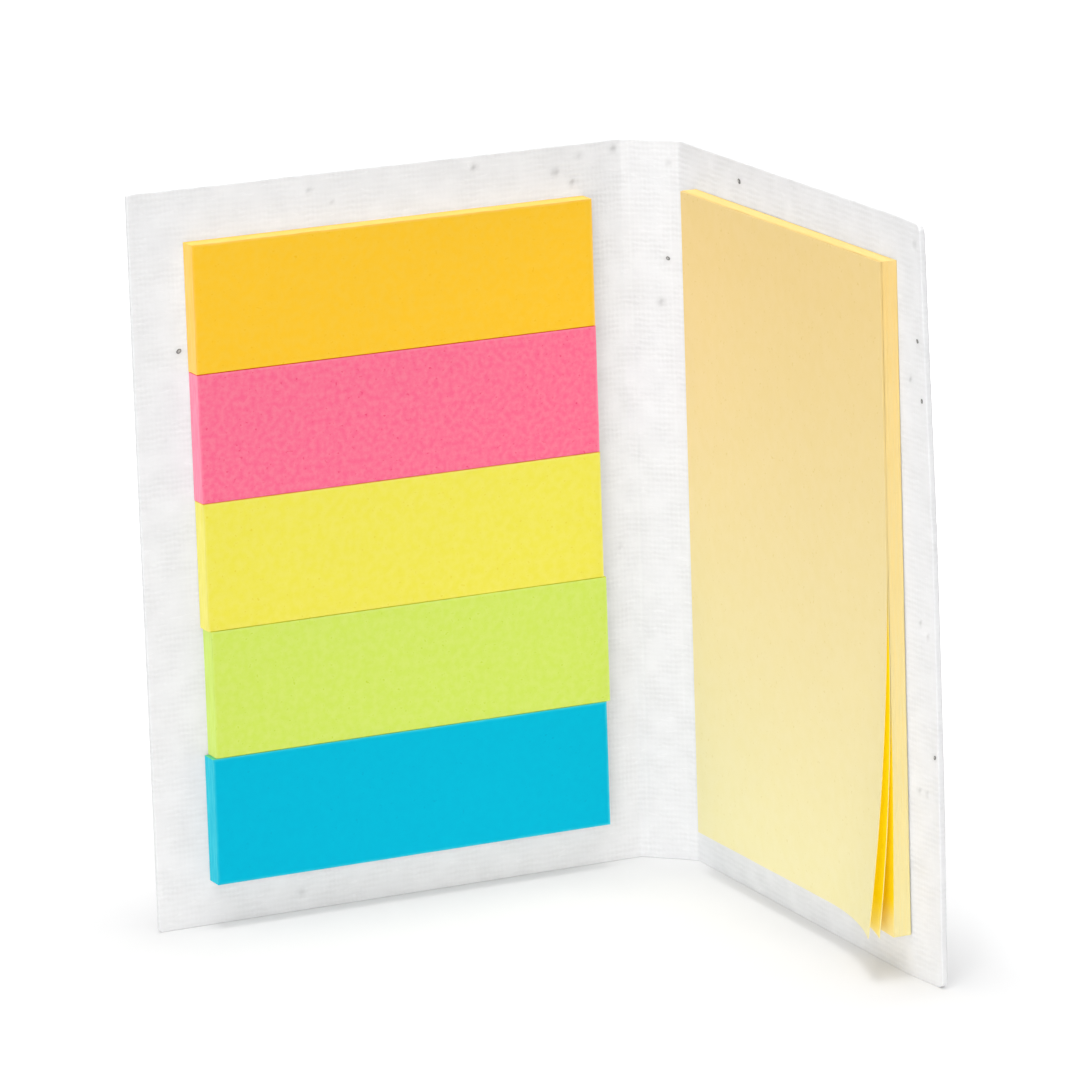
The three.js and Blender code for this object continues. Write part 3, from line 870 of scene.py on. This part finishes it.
block_paper = dyed_paper("note_paper", *NOTE_COLORS, gap=NOTE_GAP_PAINTED_LIGHT, painted_warm_bounce=NOTE_PAINTED_WARM_BOUNCE)
leaf_paper = dyed_paper("note_leaf_paper", *NOTE_COLORS, gap=NOTE_GAP_PAINTED_LIGHT, see_through="#ffee7a",
                        painted_warm_bounce=NOTE_PAINTED_WARM_BOUNCE)
block = make_stack("note_block", NOTE_PLACE, NOTE_WIDTH, NOTE_BLOCK_LEAVES, 1, block_paper,
                   NOTE_BLOCK_DRAW, corner_fan, all_sides, painted_light_on_block)
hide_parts("note_pad")
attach(block, "back")
for count, (name, curl) in enumerate(NOTE_CURLS.items()):
    level = GLUE + (NOTE_BLOCK_LEAVES + count) * LEAF
    curl_above = NOTE_CURLS["note_leaf_top"] if name == "note_leaf_under" else None
    leaf = make_curled_leaf(name, NOTE_PLACE, level, curl, 1, leaf_paper, NOTE_LEAF_DRAW + count,
                            curl_above)
    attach(leaf, "back")

# Stage: a white table in a light tent, under a large soft box, with a small one high in front, a low wide one
# beside the camera, and weak ones on the left and behind. Where the camera sees the table, a painted glow
# whitens it away from the notepad, and behind it, where it lightens the notepad's cast shadow. Its sizes are
# in metres.

WHITE = color("#ffffff")
AMBIENT = 0.27
TABLE_SIZE = 6

# The table's painted glow, which only the camera sees: how far out from the notepad's middle it grows, its
# strength in the middle and that far out, and which way behind is, where it starts and stops growing that
# way, and how much that adds over the notepad's cast shadow there
PAINTED_GLOW_REACH = 0.22
PAINTED_GLOW_NEAR = 0.12
PAINTED_GLOW_FAR = 0.72
BEHIND_WAY = (0.5, 1, 0)
BEHIND_START = 0.005
BEHIND_END = 0.035
PAINTED_LIGHT_BEHIND = 0.13


def shown_share(tree):
    """1 for what the camera sees straight, in a gloss or through glass, else 0."""
    rays = add(tree, "ShaderNodeLightPath").outputs
    seen = add(tree, "ShaderNodeMath", {"Value": rays["Is Camera Ray"], "Value_001": rays["Is Glossy Ray"]},
               operation="MAXIMUM").outputs["Value"]
    return add(tree, "ShaderNodeMath", {"Value": seen, "Value_001": rays["Is Transmission Ray"]},
               operation="MAXIMUM").outputs["Value"]


def white_table():
    """A matt white table. Where it is seen, a soft glow whitens it away from the notepad, as the photograph's
    studio light does."""
    material, tree = new_material("white_table")
    shown = shown_share(tree)
    place = add(tree, "ShaderNodeNewGeometry").outputs["Position"]
    away = add(tree, "ShaderNodeVectorMath", {"Vector": place}, operation="LENGTH").outputs["Value"]
    fading = add(tree, "ShaderNodeMapRange",
                 {"Value": away, "From Min": 0.0, "From Max": PAINTED_GLOW_REACH, "To Min": PAINTED_GLOW_NEAR,
                  "To Max": PAINTED_GLOW_FAR}, interpolation_type="SMOOTHSTEP").outputs["Result"]
    # Painted light: more glow behind the notepad, over its cast shadow
    back_right = add(tree, "ShaderNodeVectorMath", {"Vector": place, "Vector_001": BEHIND_WAY},
                     operation="DOT_PRODUCT").outputs["Value"]
    behind = add(tree, "ShaderNodeMapRange",
                 {"Value": back_right, "From Min": BEHIND_START, "From Max": BEHIND_END,
                  "To Max": PAINTED_LIGHT_BEHIND}, interpolation_type="SMOOTHSTEP").outputs["Result"]
    white = add(tree, "ShaderNodeMath", {"Value": fading, "Value_001": behind}, operation="ADD")
    painted_glow = add(tree, "ShaderNodeMath", {"Value": shown, "Value_001": white.outputs["Value"]},
                  operation="MULTIPLY").outputs["Value"]
    tone = add(tree, "ShaderNodeMix",
               {"Factor_Float": shown, "A_Color": color("#f6f6f6"), "B_Color": color("#d6d6d6")},
               data_type="RGBA").outputs[MIX]
    matt = add(tree, "ShaderNodeBsdfDiffuse", {"Color": tone})
    glow = add(tree, "ShaderNodeEmission", {"Color": WHITE, "Strength": painted_glow})
    both = add(tree, "ShaderNodeAddShader",
               {"Shader": matt.outputs["BSDF"], "Shader_001": glow.outputs["Emission"]})
    add(tree, "ShaderNodeOutputMaterial", {"Surface": both.outputs["Shader"]})
    return material


def light_tent():
    """An even white tent: its light on the notepad is weak, and it looks pure white."""
    world = bpy.data.worlds.new("light_tent")
    world.use_nodes = True
    tree = world.node_tree
    tree.nodes.clear()
    lit = add(tree, "ShaderNodeBackground", {"Color": WHITE, "Strength": AMBIENT})
    seen = add(tree, "ShaderNodeBackground", {"Color": WHITE, "Strength": 1.0})
    mixed = add(tree, "ShaderNodeMixShader",
                {"Fac": shown_share(tree), "Shader": lit.outputs["Background"],
                 "Shader_001": seen.outputs["Background"]})
    add(tree, "ShaderNodeOutputWorld", {"Surface": mixed.outputs["Shader"]})
    return world


def make_lamp(name, place, target, size, power):
    """A square soft box at place, turned to its target, in metres and watts."""
    data = bpy.data.lights.new(name, "AREA")
    data.size = size
    data.energy = power
    lamp = bpy.data.objects.new(name, data)
    bpy.context.scene.collection.objects.link(lamp)
    lamp.location = place
    lamp.rotation_euler = (Vector(target) - Vector(place)).to_track_quat("-Z", "Y").to_euler()


bpy.ops.mesh.primitive_plane_add(size=TABLE_SIZE)
table = bpy.context.object
table.name = "table"
table.data.materials.append(white_table())
bpy.context.scene.world = light_tent()

MIDDLE = (0, 0, 0.045)
make_lamp("top_box", (0, 0, 1.2), MIDDLE, 0.5, 9.6)
make_lamp("high_box", (0, -0.62, 0.86), MIDDLE, 0.34, 1.8)
make_lamp("front_box", (0.2, -1.1, 0.16), MIDDLE, 0.7, 5.2)
make_lamp("left_box", (-0.7, -0.85, 0.2), MIDDLE, 0.7, 1.3)
make_lamp("back_box", (0.25, 1.05, 0.35), MIDDLE, 0.7, 2.2)

# Camera: a long lens at the photograph's distance, tilt and roll
CAMERA_PLACE = Vector((0.28680, -0.77597, 0.23645))
CAMERA_YAW = math.radians(-20.735)
CAMERA_TILT = math.radians(13.098)
CAMERA_ROLL = math.radians(-1.873)
LENS_MM = 247.37
SENSOR_MM = 36
level_ahead = Vector((math.sin(CAMERA_YAW), math.cos(CAMERA_YAW), 0))
ahead = math.cos(CAMERA_TILT) * level_ahead - math.sin(CAMERA_TILT) * UP
level_right = level_ahead.cross(UP)
level_up = level_right.cross(ahead)
right = math.cos(CAMERA_ROLL) * level_right + math.sin(CAMERA_ROLL) * level_up
lens = bpy.data.cameras.new("camera")
lens.sensor_width = SENSOR_MM
lens.lens = LENS_MM
camera = bpy.data.objects.new("camera", lens)
bpy.context.scene.collection.objects.link(camera)
turned = Matrix((right, right.cross(ahead), -ahead)).transposed().to_4x4()
camera.matrix_world = Matrix.Translation(CAMERA_PLACE) @ turned
bpy.context.scene.camera = camera
bpy.context.scene.view_settings.view_transform = "Standard"

bpy.context.view_layer.update()
